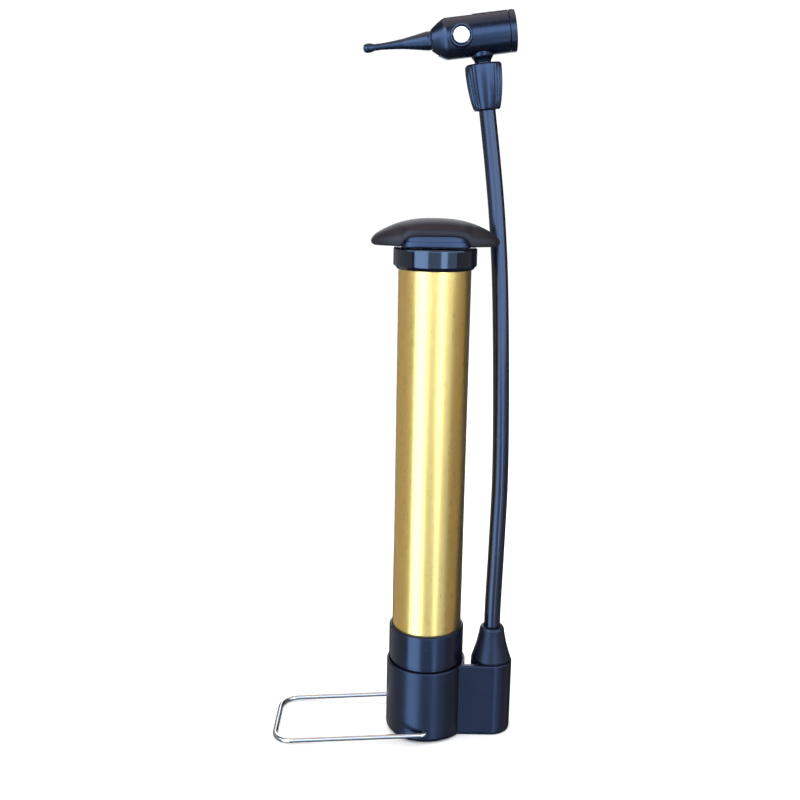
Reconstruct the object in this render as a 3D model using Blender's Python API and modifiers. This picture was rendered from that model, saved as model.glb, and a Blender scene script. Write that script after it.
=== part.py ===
"""Foot air pump: a gold barrel on a moulded base, a T-handled plunger, a fold-out wire
stirrup and a hose that ends in a thumb-lock valve head.

Metres, +Z up. The barrel's axis is Z and the origin is the middle of the base's underside.
The outlet boss and the hose are on +X, the stirrup on -X, and the front is -Y.
"""

import math

import bmesh
import bpy
from mathutils import Vector

MM = 0.001

# ---------------------------------------------------------------- driving dimensions (mm)
BARREL_R = 17.5          # outside radius of the aluminium tube
BARREL_WALL = 1.5
BARREL_BOTTOM = 16.4
BARREL_TOP = 244.2

BASE_R = 20.0            # round part of the base
BASE_H = 38.5
SOCKET_R = 17.8
SOCKET_FLOOR = 14.0
COLLAR_SEAT_R = 18.9     # counterbore that takes the collar's skirt
COLLAR_SEAT_Z = 31.7
BOSS_X = 34.0            # axis of the outlet boss
BOSS_R = 10.5
CHAMBER_R = 5.3          # valve chamber in the boss
WEB = 2.6                # front wall that joins the round base to the boss
WEB_FOOT_Z = 18.0        # below this the space behind the wall is solid
CHAMBER_STEP_Z = 14.0
CHAMBER_FLOOR_Z = 9.5
STIRRUP_Z = 6.0          # height of the stirrup's pivot

COLLAR_R = 19.0
COLLAR_BOTTOM = 38.9
COLLAR_TOP = 57.8

CAP_R = 20.0
CAP_BOTTOM = 239.0
CAP_TOP = 249.1

ROD_R = 4.0
ROD_BOTTOM = 17.6
ROD_TOP = 257.6
STROKE = 195.0

HUB_R = 16.5             # half width of the hub under the grip
HANDLE_BOTTOM = 249.5
HANDLE_TOP = 262.5
HANDLE_HALF = 30.4       # half the grip's length
HANDLE_DEPTH = 17.4      # half the grip's depth at the middle

WIRE_R = 1.2             # stirrup wire
STIRRUP_REACH = 77.0     # pivot to the bar
STIRRUP_HALF = 21.6      # leg centre from the middle plane
STIRRUP_CORNER = 9.0
STIRRUP_HOLE_R = 1.45

HOSE_R = 4.1
HOSE_START_Z = 53.0
HOSE_BACK = 30.0         # how far behind the barrel's axis the hose ends

HEAD_X = 20.1            # where the valve head's axis meets its neck's axis
HEAD_Z = 347.9
HEAD_TILT = 7.4          # degrees, right end up
HEAD_R = 10.0
PIN_X = -9.6             # lever pivot along the head's axis
PIN_R = 4.0
CAM_OFFSET = 0.64
CAM_R = 6.3
CAM_TRAVEL = 1.27
LEVER_TIP = -56.6

BIG, MID, SMALL = 36, 24, 16   # sides of round pieces


# ---------------------------------------------------------------- helpers
def clear():
    for obj in list(bpy.data.objects):
        bpy.data.objects.remove(obj, do_unlink=True)


def collection(name, hidden=False):
    found = bpy.data.collections.new(name)
    bpy.context.scene.collection.children.link(found)
    found.hide_render = hidden
    return found


def material(name, colour, roughness, metallic=0.0):
    made = bpy.data.materials.new(name)
    made.use_nodes = True
    shader = made.node_tree.nodes["Principled BSDF"]
    shader.inputs["Base Color"].default_value = (*colour, 1.0)
    shader.inputs["Roughness"].default_value = roughness
    shader.inputs["Metallic"].default_value = metallic
    made.diffuse_color = (*colour, 1.0)
    return made


def place(obj, where, parent=None, location=(0, 0, 0), rotation=(0, 0, 0)):
    where.objects.link(obj)
    obj.parent = parent
    obj.location = [v * MM for v in location]
    obj.rotation_euler = rotation
    return obj


def smooth(obj, angle=35):
    obj.data.shade_smooth()
    obj.data.set_sharp_from_angle(angle=math.radians(angle))


def turned(name, profile, sides, closed=True):
    """A turned shape about Z. The profile is (radius, z) in mm. Its outer side runs down."""
    mesh = bpy.data.meshes.new(name)
    points = [(r * MM, 0, z * MM) for r, z in profile]
    edges = [(i, i + 1) for i in range(len(points) - 1)]
    if closed:
        edges.append((len(points) - 1, 0))
    mesh.from_pydata(points, edges, [])
    obj = bpy.data.objects.new(name, mesh)
    screw = obj.modifiers.new("turn", "SCREW")
    screw.axis = "Z"
    screw.angle = 2 * math.pi
    screw.steps = screw.render_steps = sides
    screw.use_merge_vertices = True
    screw.merge_threshold = 1e-5
    screw.use_smooth_shade = True
    return obj


def ring(name, inner, outer, low, high, sides, chamfer=0.0):
    c = chamfer
    if c:
        profile = [(outer - c, high), (outer, high - c), (outer, low + c), (outer - c, low), (inner, low), (inner, high)]
    else:
        profile = [(outer, high), (outer, low), (inner, low), (inner, high)]
    return turned(name, profile, sides)


def rod(name, radius, low, high, sides, chamfer=0.0):
    c = chamfer
    if c:
        profile = [(0, high), (radius - c, high), (radius, high - c), (radius, low + c), (radius - c, low), (0, low)]
    else:
        profile = [(0, high), (radius, high), (radius, low), (0, low)]
    return turned(name, profile, sides, closed=False)


def box(name, low, high):
    mesh = bpy.data.meshes.new(name)
    bm = bmesh.new()
    bmesh.ops.create_cube(bm, size=1.0)
    bm.to_mesh(mesh)
    bm.free()
    for vertex in mesh.vertices:
        vertex.co = Vector((low[i] + (high[i] - low[i]) * (vertex.co[i] + 0.5)) * MM for i in range(3))
    return bpy.data.objects.new(name, mesh)


def drum(name, radius, length, sides, radius_top=None):
    """A cylinder or cone about Z, centred on its own origin."""
    mesh = bpy.data.meshes.new(name)
    bm = bmesh.new()
    bmesh.ops.create_cone(
        bm,
        cap_ends=True,
        segments=sides,
        radius1=radius * MM,
        radius2=(radius if radius_top is None else radius_top) * MM,
        depth=length * MM,
    )
    bm.to_mesh(mesh)
    bm.free()
    return bpy.data.objects.new(name, mesh)


def slab(name, outline, low, high, rounding):
    """A flat outline (mm, anticlockwise) made into a plate with rounded upper and lower edges."""
    curve = bpy.data.curves.new(name, "CURVE")
    curve.dimensions = "2D"
    curve.fill_mode = "BOTH"
    curve.extrude = ((high - low) / 2 - rounding) * MM
    curve.bevel_depth = rounding * MM
    curve.bevel_resolution = 1
    curve.offset = -rounding * MM
    spline = curve.splines.new("POLY")
    spline.points.add(len(outline) - 1)
    for target, p in zip(spline.points, outline):
        target.co = (p[0] * MM, p[1] * MM, 0.0, 1.0)
    spline.use_cyclic_u = True
    guide = bpy.data.objects.new(name + "_outline", curve)
    bpy.context.scene.collection.objects.link(guide)
    bpy.context.view_layer.update()
    mesh = bpy.data.meshes.new_from_object(guide.evaluated_get(bpy.context.evaluated_depsgraph_get()))
    bpy.data.objects.remove(guide, do_unlink=True)
    bm = bmesh.new()
    bm.from_mesh(mesh)
    bmesh.ops.remove_doubles(bm, verts=bm.verts, dist=1e-6)
    bmesh.ops.translate(bm, verts=bm.verts, vec=(0, 0, (low + high) / 2 * MM))
    bmesh.ops.recalc_face_normals(bm, faces=bm.faces)
    bm.to_mesh(mesh)
    bm.free()
    mesh.materials.clear()
    return bpy.data.objects.new(name, mesh)


def boolean(obj, other, operation):
    modifier = obj.modifiers.new(other.name, "BOOLEAN")
    modifier.operation = operation
    modifier.object = other
    modifier.solver = "EXACT"


def helper(obj, parent=None, location=(0, 0, 0), rotation=(0, 0, 0)):
    place(obj, CUTTERS, parent, location, rotation)
    obj.hide_render = True
    obj.display_type = "WIRE"
    return obj


def part(obj, mat, parent=None, location=(0, 0, 0), rotation=(0, 0, 0)):
    place(obj, PUMP, parent, location, rotation)
    obj.data.materials.append(mat)
    return obj


def wire(name, points, radius, resolution, cyclic=False):
    """A round wire along the points (mm), as a filled poly curve."""
    curve = bpy.data.curves.new(name, "CURVE")
    curve.dimensions = "3D"
    curve.bevel_depth = radius * MM
    curve.bevel_resolution = resolution
    curve.use_fill_caps = True
    spline = curve.splines.new("POLY")
    spline.points.add(len(points) - 1)
    for target, p in zip(spline.points, points):
        target.co = (p[0] * MM, p[1] * MM, p[2] * MM, 1.0)
    spline.use_cyclic_u = cyclic
    return bpy.data.objects.new(name, curve)


def hermite(knots, count):
    """Points along a smooth curve through the knots, evenly spread by length."""
    fine = []
    knots = [Vector(k) for k in knots]
    for i in range(len(knots) - 1):
        a, b = knots[i], knots[i + 1]
        before = knots[i - 1] if i else a - (b - a)
        after = knots[i + 2] if i + 2 < len(knots) else b + (b - a)
        span = (b - a).length
        ta = (b - before) / (b - before).length * span
        tb = (after - a) / (after - a).length * span
        for k in range(40):
            t = k / 40
            h1, h2 = 2 * t**3 - 3 * t**2 + 1, t**3 - 2 * t**2 + t
            h3, h4 = -2 * t**3 + 3 * t**2, t**3 - t**2
            fine.append(a * h1 + ta * h2 + b * h3 + tb * h4)
    fine.append(knots[-1])
    along = [0.0]
    for p, q in zip(fine, fine[1:]):
        along.append(along[-1] + (q - p).length)
    out, j = [], 0
    for i in range(count):
        want = along[-1] * i / (count - 1)
        while j < len(fine) - 2 and along[j + 1] < want:
            j += 1
        f = (want - along[j]) / max(along[j + 1] - along[j], 1e-9)
        out.append(fine[j].lerp(fine[j + 1], min(max(f, 0.0), 1.0)))
    return out


# ---------------------------------------------------------------- scene and materials
clear()
PUMP = collection("foot_air_pump")
CUTTERS = collection("cutters", hidden=True)

PLASTIC = (0.020, 0.024, 0.040)
gold = material("gold_anodised", (0.78, 0.56, 0.22), 0.28, 1.0)
black = material("black_plastic", PLASTIC, 0.35)
grip = material("grip_plastic", (0.030, 0.028, 0.036), 0.42)
rubber = material("black_rubber", (0.022, 0.024, 0.034), 0.6)
hose_rubber = material("hose_rubber", (0.024, 0.028, 0.044), 0.45)
chrome = material("chrome_wire", (0.80, 0.80, 0.82), 0.12, 1.0)
steel = material("bright_steel", (0.62, 0.62, 0.64), 0.3, 1.0)
brass = material("brass", (0.78, 0.58, 0.28), 0.32, 1.0)
nylon = material("white_nylon", (0.78, 0.76, 0.70), 0.5)
red_rubber = material("seal_rubber", (0.05, 0.05, 0.055), 0.65)

# ---------------------------------------------------------------- base
base = part(
    turned(
        "base_body",
        [
            (0, BASE_H),
            (BASE_R - 0.5, BASE_H),
            (BASE_R, BASE_H - 0.6),
            (BASE_R, 3.0),
            (BASE_R - 0.5, 1.4),
            (BASE_R - 1.4, 0.5),
            (BASE_R - 3.0, 0),
            (0, 0),
        ],
        BIG,
        closed=False,
    ),
    black,
)
# The boss: a straight-sided outline with a half-round end, joined before the barrel's socket is cut.
outline = [(9.0, BOSS_R), (9.0, -BOSS_R)]
for i in range(13):
    a = -math.pi / 2 + math.pi * i / 12
    outline.append((BOSS_X + BOSS_R * math.cos(a), BOSS_R * math.sin(a)))
boolean(base, helper(slab("boss", outline, 0, BASE_H, 0.7)), "UNION")
# The space behind the front web is open: the boss stands as a round column behind a thin wall,
# and only the foot between it and the barrel's socket is solid, where the air passage runs.
pocket = helper(box("web_pocket_cut", (12, -BOSS_R + WEB, WEB_FOOT_Z), (BOSS_X - 2, 12, 45)))
boolean(pocket, helper(drum("pocket_round_guard", BASE_R + 0.3, 80, BIG)), "DIFFERENCE")
boolean(pocket, helper(drum("pocket_boss_guard", BOSS_R, 120, MID), location=(BOSS_X, 0, 20)), "DIFFERENCE")
boolean(base, pocket, "DIFFERENCE")
for cutter in (
    helper(
        turned(
            "socket_cut",
            [(0, 60), (COLLAR_SEAT_R, 60), (COLLAR_SEAT_R, COLLAR_SEAT_Z), (SOCKET_R, COLLAR_SEAT_Z), (SOCKET_R, SOCKET_FLOOR), (0, SOCKET_FLOOR)],
            BIG,
            closed=False,
        )
    ),
    helper(drum("chamber_cut", CHAMBER_R, 40, MID), location=(BOSS_X, 0, CHAMBER_STEP_Z + 20)),
    helper(drum("chamber_well_cut", 2.4, 20, SMALL), location=(BOSS_X, 0, CHAMBER_FLOOR_Z + 10)),
    helper(drum("port_cut", 2.2, 12, SMALL), location=(10, 0, 10 + 6)),
    helper(drum("passage_cut", 1.6, BOSS_X - 9, SMALL), location=((BOSS_X + 9) / 2, 0, 11.3), rotation=(0, math.pi / 2, 0)),
    helper(drum("stirrup_hole_front", STIRRUP_HOLE_R, 20, SMALL), location=(0, -21.5, STIRRUP_Z), rotation=(math.pi / 2, 0, 0)),
    helper(drum("stirrup_hole_back", STIRRUP_HOLE_R, 20, SMALL), location=(0, 21.5, STIRRUP_Z), rotation=(math.pi / 2, 0, 0)),
):
    boolean(base, cutter, "DIFFERENCE")

part(ring("barrel_seal", 13.5, 17.4, SOCKET_FLOOR + 0.3, BARREL_BOTTOM - 0.3, BIG), red_rubber)
part(
    turned(
        "barrel_tube",
        [
            (BARREL_R - 0.3, BARREL_TOP),
            (BARREL_R, BARREL_TOP - 0.3),
            (BARREL_R, BARREL_BOTTOM),
            (BARREL_R - BARREL_WALL, BARREL_BOTTOM),
            (BARREL_R - BARREL_WALL, BARREL_TOP),
        ],
        BIG,
    ),
    gold,
)
part(
    turned(
        "bottom_collar",
        [
            (COLLAR_R - 0.8, COLLAR_TOP),
            (COLLAR_R, COLLAR_TOP - 0.9),
            (COLLAR_R, COLLAR_BOTTOM + 0.5),
            (COLLAR_R - 0.4, COLLAR_BOTTOM),
            (18.6, COLLAR_BOTTOM),
            (18.6, COLLAR_SEAT_Z + 0.3),
            (SOCKET_R, COLLAR_SEAT_Z + 0.3),
            (SOCKET_R, COLLAR_TOP),
        ],
        BIG,
    ),
    black,
)

# ---------------------------------------------------------------- outlet check valve and hose fitting
valve_seat = part(
    turned("valve_seat", [(4.9, 3.0), (4.9, 0), (1.6, 0), (1.6, 2.4), (2.2, 3.0)], MID),
    brass,
    location=(BOSS_X, 0, CHAMBER_STEP_Z + 0.3),
)
BALL_Z = CHAMBER_STEP_Z + 0.3 + 3.0 + 1.62
ball_mesh = bpy.data.meshes.new("check_ball")
bm = bmesh.new()
bmesh.ops.create_icosphere(bm, subdivisions=2, radius=2.45 * MM)
bm.to_mesh(ball_mesh)
bm.free()
check_ball = part(bpy.data.objects.new("check_ball", ball_mesh), steel, location=(BOSS_X, 0, BALL_Z))
smooth(check_ball, 60)

SPRING_LOW, SPRING_HIGH, SPRING_TURNS = BALL_Z + 2.45 + 0.6, 28.4, 4
coil = []
for i in range(SPRING_TURNS * 10 + 1):
    a = 2 * math.pi * i / 10
    f = i / (SPRING_TURNS * 10)
    coil.append((2.1 * math.cos(a), 2.1 * math.sin(a), SPRING_LOW + 0.3 + (SPRING_HIGH - SPRING_LOW - 0.6) * f))
part(wire("check_spring", coil, 0.3, 1), steel, location=(BOSS_X, 0, 0))

barb = part(
    turned(
        "hose_barb",
        [
            (2.0, 52.4),
            (2.7, 50.2),
            (2.3, 50.2),
            (2.9, 47.0),
            (2.4, 47.0),
            (2.4, 42.6),
            (5.9, 42.6),
            (5.9, 40.0),
            (4.9, 40.0),
            (4.9, SPRING_HIGH + 0.3),
            (1.3, SPRING_HIGH + 0.3),
            (1.3, 52.4),
        ],
        MID,
    ),
    brass,
    location=(BOSS_X - 0.2, 0, 0),
)
# The flange is hexagonal: six flats trimmed off it.
for i in range(6):
    a = math.radians(60 * i + 30)
    flat = helper(
        box("barb_flat_%d" % i, (5.15, -6, 39.6), (7.5, 6, 43.0)),
        location=(BOSS_X - 0.2, 0, 0),
        rotation=(0, 0, a),
    )
    boolean(barb, flat, "DIFFERENCE")

part(
    turned(
        "strain_relief",
        [
            (5.2, 56.6),
            (6.0, 56.0),
            (6.5, 52.5),
            (7.6, 47.6),
            (9.2, 42.4),
            (9.9, 39.6),
            (9.7, BASE_H + 0.3),
            (6.4, BASE_H + 0.3),
            (6.4, 43.4),
            (4.5, 44.6),
            (4.5, 56.6),
        ],
        MID,
    ),
    rubber,
    location=(BOSS_X - 0.2, 0, 0),
)
part(ring("barb_oring", 5.2, 6.3, 0.3, 1.2, MID), red_rubber, location=(BOSS_X - 0.2, 0, BASE_H))

# ---------------------------------------------------------------- top cap
part(
    turned(
        "top_cap",
        [
            (CAP_R - 0.5, CAP_TOP),
            (CAP_R, CAP_TOP - 0.5),
            (CAP_R, CAP_BOTTOM + 1.6),
            (CAP_R - 1.4, CAP_BOTTOM),
            (SOCKET_R, CAP_BOTTOM),
            (SOCKET_R, 245.7),
            (8.8, 245.7),
            (8.8, 238.0),
            (6.3, 238.0),
            (6.3, CAP_TOP),
        ],
        BIG,
    ),
    black,
)
part(ring("cap_seal", 14.2, 17.3, BARREL_TOP + 0.3, 245.4, BIG), red_rubber)
part(
    turned(
        "rod_bush",
        [(6.0, CAP_TOP - 0.3), (6.0, 237.7), (7.4, 237.7), (7.4, 236.2), (4.3, 236.2), (4.3, CAP_TOP - 0.3)],
        MID,
    ),
    nylon,
)

# ---------------------------------------------------------------- plunger
part(rod("piston_rod", ROD_R, ROD_BOTTOM, ROD_TOP, MID, chamfer=0.5), steel)
part(
    turned(
        "piston_carrier",
        [(13.4, 35.0), (15.3, 33.6), (15.3, 27.4), (4.3, 27.4), (4.3, 35.0)],
        BIG,
    ),
    nylon,
)
part(
    turned(
        "cup_seal",
        [(15.8, 27.1), (15.8, 19.0), (15.0, 18.2), (14.2, 18.6), (14.2, 24.6), (13.8, 25.0), (4.3, 25.0), (4.3, 27.1)],
        BIG,
    ),
    rubber,
)
part(ring("piston_washer", 4.3, 11.5, 23.2, 24.7, MID), steel)
nut = part(drum("piston_nut", 7.2, 3.8, 6), steel, location=(0, 0, 21.0))
boolean(nut, helper(drum("nut_bore", 4.3, 12, MID), location=(0, 0, 21.0)), "DIFFERENCE")
part(ring("return_bumper", 4.3, 8.6, 35.3, 41.0, MID, chamfer=0.7), rubber)

# The grip: a low boat-shaped arch on a flat-sided hub, its outline and its crown set by rules.
def grip_depth(x):
    f = min(abs(x) / HANDLE_HALF, 1.0)
    return HANDLE_DEPTH * (1 - f**2.6) ** (1 / 2.1)


def grip_top(x):
    f = abs(x) / HANDLE_HALF
    return HANDLE_TOP - 9.0 * f**2.5


def grip_under(x):
    f = min(abs(x) / 16.3, 1.0)
    return HANDLE_BOTTOM + 0.2 + 4.6 * (1 - f**6) ** 0.9


def grip_mesh(name, stations, across):
    """Closed loft of crescent sections along X: a crowned top over an arched underside."""
    bm = bmesh.new()
    loops = []
    for i in range(stations + 1):
        x = -HANDLE_HALF * math.cos(math.pi * i / stations) * 0.994
        depth, top, under = max(grip_depth(x), 2.2), grip_top(x), grip_under(x)
        edge = under + min(3.0, (top - under) * 0.5)
        loop = []
        for k in range(across):
            a = math.pi * k / (across - 1)
            y = -depth * math.cos(a)
            z = edge + (top - edge) * math.sin(a) ** 0.75 if 0 < k < across - 1 else edge
            loop.append((x, y, z))
        for k in range(1, across - 1):
            a = math.pi * k / (across - 1)
            y = depth * math.cos(a) * 0.97
            z = edge + (under - edge) * min(1.0, math.sin(a) * 2.4)
            loop.append((x, y, z))
        loops.append([bm.verts.new([v * MM for v in p]) for p in loop])
    n = len(loops[0])
    for a, b in zip(loops, loops[1:]):
        for k in range(n):
            bm.faces.new((a[k], a[(k + 1) % n], b[(k + 1) % n], b[k]))
    bm.faces.new(loops[0][::-1])
    bm.faces.new(loops[-1])
    bmesh.ops.recalc_face_normals(bm, faces=bm.faces)
    mesh = bpy.data.meshes.new(name)
    bm.to_mesh(mesh)
    bm.free()
    return bpy.data.objects.new(name, mesh)


def squared(obj):
    """Gives a round piece a plan with flat front, back and sides and well rounded corners."""
    for vertex in obj.data.vertices:
        angle = math.atan2(vertex.co.y, vertex.co.x)
        share = 1 / (abs(math.cos(angle)) ** 5 + abs(1.1 * math.sin(angle)) ** 5) ** 0.2
        vertex.co.x *= share
        vertex.co.y *= share
    return obj


handle = part(grip_mesh("handle_grip", 28, 9), grip)
hub_height = 258.6 - HANDLE_BOTTOM
hub = helper(squared(drum("grip_hub", HUB_R, hub_height, BIG)), location=(0, 0, HANDLE_BOTTOM + hub_height / 2))
boolean(handle, hub, "UNION")
boolean(handle, helper(drum("grip_bore", 6.9, 20, MID), location=(0, 0, 258.4 - 10)), "DIFFERENCE")
part(ring("handle_insert", 4.3, 6.6, HANDLE_BOTTOM + 0.4, 257.9, MID), brass)

# ---------------------------------------------------------------- stirrup
# Its origin is on the pivot. At rest the legs fall slightly, so that the bar lies on the floor.
droop = math.asin((STIRRUP_Z - WIRE_R - 0.1) / STIRRUP_REACH)
path = [(0, -13.0, 0), (0, -STIRRUP_HALF + 2.2, 0)]
for i in range(1, 4):
    a = math.pi / 2 * i / 3
    path.append((-2.2 * (1 - math.cos(a)), -STIRRUP_HALF + 2.2 - 2.2 * math.sin(a), 0))
for x in (-16, -32, -48):
    path.append((x, -STIRRUP_HALF, 0))
for i in range(6):
    a = math.pi / 2 * i / 5
    path.append((
        -STIRRUP_REACH + STIRRUP_CORNER - STIRRUP_CORNER * math.sin(a),
        -STIRRUP_HALF + STIRRUP_CORNER - STIRRUP_CORNER * math.cos(a),
        0,
    ))
path += [(p[0], -p[1], p[2]) for p in reversed(path)]
stirrup = part(
    wire("stirrup_wire", path, WIRE_R, 2),
    chrome,
    location=(0, 0, STIRRUP_Z),
    rotation=(0, -droop, 0),
)

# ---------------------------------------------------------------- valve head
head = bpy.data.objects.new("valve_head_frame", None)
place(head, PUMP, None, (HEAD_X, HOSE_BACK, HEAD_Z), (0, math.radians(-HEAD_TILT), 0))
ALONG = (0, math.pi / 2, 0)      # turns a shape about Z into one about the head's axis
ACROSS = (math.pi / 2, 0, 0)     # and into one about the pin's axis

body = part(
    turned(
        "chuck_body",
        [
            (0, -3.9),
            (7.6, -3.9),
            (7.6, 9.5),
            (8.7, 9.5),
            (8.7, 13.6),
            (HEAD_R, 13.6),
            (HEAD_R, -16.4),
            (9.6, -17.8),
            (8.6, -19.6),
            (6.3, -23.4),
            (5.6, -24.0),
            (0, -24.0),
        ],
        BIG,
        closed=False,
    ),
    black,
    parent=head,
    rotation=ALONG,
)
boolean(body, helper(drum("pin_boss", 6.0, 21.0, MID), head, (PIN_X, 0, 0), ACROSS), "UNION")
boolean(
    body,
    helper(turned("neck", [(0, -8.0), (5.6, -8.0), (5.3, -9.8), (4.2, -11.4), (3.9, -12.6), (3.9, -22.0), (0, -22.0)], MID, closed=False), head),
    "UNION",
)
for cutter in (
    helper(drum("inner_chamber_cut", 7.6, 13.4, BIG), head, (-3.9 + 6.7, 0, 0), ALONG),
    helper(box("lever_slot", (-27, -4.1, -7.5), (-3.2, 4.1, 13)), head),
    helper(drum("pin_bore", PIN_R + 0.3, 40, MID), head, (PIN_X, 0, 0), ACROSS),
    helper(drum("neck_bore", 1.5, 20, SMALL), head, (0, 0, -6.5 - 10)),
    helper(drum("nipple_bore", 2.7, 12, SMALL), head, (0, 0, -15.2 - 6)),
):
    boolean(body, cutter, "DIFFERENCE")

part(
    turned(
        "mouth_cap",
        [
            (9.2, 16.9),
            (9.8, 16.6),
            (HEAD_R, 16.0),
            (HEAD_R, 13.9),
            (8.4, 13.9),
            (8.4, 9.8),
            (7.7, 9.8),
            (7.7, 13.6),
            (4.4, 13.6),
            (4.4, 16.3),
            (5.0, 16.9),
        ],
        BIG,
    ),
    black,
    parent=head,
    rotation=ALONG,
)
part(ring("chuck_grommet", 4.0, 7.3, 6.4, 13.3, MID, chamfer=0.5), red_rubber, parent=head, rotation=ALONG)
part(
    turned(
        "chuck_pusher",
        [(0, 1.0), (1.3, 1.0), (1.3, 4.6), (6.6, 4.6), (7.2, 4.0), (7.2, 2.4), (6.2, 2.4), (6.2, 0.6), (7.2, 0.6), (7.2, -3.6), (0, -3.6)],
        MID,
        closed=False,
    ),
    nylon,
    parent=head,
    rotation=ALONG,
)
part(ring("pusher_oring", 6.5, 7.4, 0.9, 2.1, MID), red_rubber, parent=head, rotation=ALONG)
part(rod("depressor_pin", 1.0, 1.3, 8.4, 12, chamfer=0.3), brass, parent=head, rotation=ALONG)
part(rod("pivot_pin", PIN_R, -10.9, 10.9, MID, chamfer=0.5), chrome, parent=head, location=(PIN_X, 0, 0), rotation=ACROSS)

# The lever: a round tapered arm, flattened where it passes between the cheeks, on an offset cam.
lever = part(
    turned(
        "cam_lever",
        [
            (0, 0),
            (4.4, 0),
            (4.4, -14.8),
            (4.5, -15.8),
            (3.6, -20.8),
            (2.4, -27.5),
            (1.8, -33.0),
            (1.7, -41.5),
            (2.2, -43.6),
            (2.1, -45.6),
            (1.4, LEVER_TIP - PIN_X + 0.2),
            (0, LEVER_TIP - PIN_X),
        ],
        MID,
        closed=False,
    ),
    black,
    parent=head,
    location=(PIN_X, 0, 0),
    rotation=ALONG,
)
for side in (-1, 1):
    boolean(
        lever,
        helper(
            box("lever_flat_%s" % ("front" if side < 0 else "back"), (-15.2, min(side * 3.8, side * 9), -9), (9, max(side * 3.8, side * 9), 9)),
            head,
            (PIN_X, 0, 0),
        ),
        "DIFFERENCE",
    )
boolean(
    lever,
    helper(drum("cam", CAM_R, 7.6, BIG), head, (PIN_X - CAM_OFFSET, 0, CAM_OFFSET), ACROSS),
    "UNION",
)
boolean(lever, helper(drum("lever_bore", PIN_R + 0.3, 30, MID), head, (PIN_X, 0, 0), ACROSS), "DIFFERENCE")

part(ring("chuck_nipple", 1.2, 2.4, -22.0, -15.5, SMALL), brass, parent=head)
part(
    turned(
        "hose_ferrule",
        [
            (8.3, -13.4),
            (8.9, -14.0),
            (8.9, -17.5),
            (8.6, -23.0),
            (7.9, -28.5),
            (7.0, -33.0),
            (6.2, -35.2),
            (4.5, -35.2),
            (4.5, -13.4),
        ],
        MID,
    ),
    black,
    parent=head,
)

# ---------------------------------------------------------------- hose
# It rises from the boss, leans back past the handle and comes up into the head's sleeve.
tilt = math.radians(HEAD_TILT)


def in_head(distance):
    """A point on the neck's axis, that far below the head's axis."""
    return (HEAD_X + distance * math.sin(tilt), HOSE_BACK, HEAD_Z - distance * math.cos(tilt))


def lean(z, x):
    t = min(max((z - 60) / 255, 0), 1)
    return (x, HOSE_BACK * (3 * t * t - 2 * t**3), z)


knots = [
    (BOSS_X - 0.2, 0, HOSE_START_Z),
    lean(66, 33.8),
    lean(98, 34.6),
    lean(135, 35.5),
    lean(182, 34.9),
    lean(230, 33.3),
    lean(262, 31.0),
    lean(290, 27.8),
    in_head(36),
    in_head(22.4),
]
part(wire("air_hose", hermite(knots, 44), HOSE_R, 2), hose_rubber)

for obj in PUMP.objects:
    if obj.type == "MESH":
        smooth(obj)
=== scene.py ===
"""Looks for the foot air pump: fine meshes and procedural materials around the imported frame."""

import math

import bmesh
import bpy
import numpy as np
from mathutils import Matrix, Vector


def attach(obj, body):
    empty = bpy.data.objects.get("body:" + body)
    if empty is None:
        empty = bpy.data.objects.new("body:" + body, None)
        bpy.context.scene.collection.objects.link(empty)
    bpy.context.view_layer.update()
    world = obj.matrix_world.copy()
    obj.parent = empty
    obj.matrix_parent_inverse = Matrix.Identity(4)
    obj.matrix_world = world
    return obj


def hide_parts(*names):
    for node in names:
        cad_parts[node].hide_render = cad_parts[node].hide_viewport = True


MM = 0.001
TAU = 2 * math.pi

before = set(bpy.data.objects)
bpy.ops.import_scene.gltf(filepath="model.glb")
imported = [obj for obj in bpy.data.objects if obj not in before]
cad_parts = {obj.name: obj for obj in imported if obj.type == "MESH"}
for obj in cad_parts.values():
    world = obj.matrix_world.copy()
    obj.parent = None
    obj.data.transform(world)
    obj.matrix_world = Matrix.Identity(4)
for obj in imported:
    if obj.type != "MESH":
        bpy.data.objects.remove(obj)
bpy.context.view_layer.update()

# ------------------------------------------------------------------ dimensions (mm), as in the CAD model
BARREL_R, BARREL_WALL = 17.5, 1.5
BARREL_BOTTOM, BARREL_TOP = 16.4, 244.2
BASE_R, BASE_H, SOCKET_R, SOCKET_FLOOR = 20.0, 38.5, 17.8, 14.0
COLLAR_SEAT_R, COLLAR_SEAT_Z = 18.9, 31.7
BOSS_X, BOSS_R, CHAMBER_R = 34.0, 10.5, 5.3
WEB, WEB_FOOT_Z = 2.6, 18.0
STIRRUP_Z = 6.0
COLLAR_R, COLLAR_BOTTOM, COLLAR_TOP = 19.0, 38.9, 57.8
CAP_R, CAP_BOTTOM, CAP_TOP = 20.0, 239.0, 249.1
ROD_R, ROD_BOTTOM, ROD_TOP = 4.0, 17.6, 257.6
HUB_R, HANDLE_BOTTOM, HANDLE_TOP, HANDLE_HALF, HANDLE_DEPTH = 16.5, 249.5, 262.5, 30.4, 17.4
WIRE_R, STIRRUP_REACH, STIRRUP_HALF, STIRRUP_CORNER, STIRRUP_HOLE_R = 1.2, 77.0, 21.6, 9.0, 1.45
HOSE_R, HOSE_START_Z, HOSE_BACK = 4.1, 53.0, 30.0
HEAD_X, HEAD_Z, HEAD_TILT, HEAD_R = 20.1, 347.9, 7.4, 10.0
PIN_X, PIN_R, CAM_OFFSET, CAM_R, LEVER_TIP = -9.6, 4.0, 0.64, 6.3, -56.6


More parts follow.
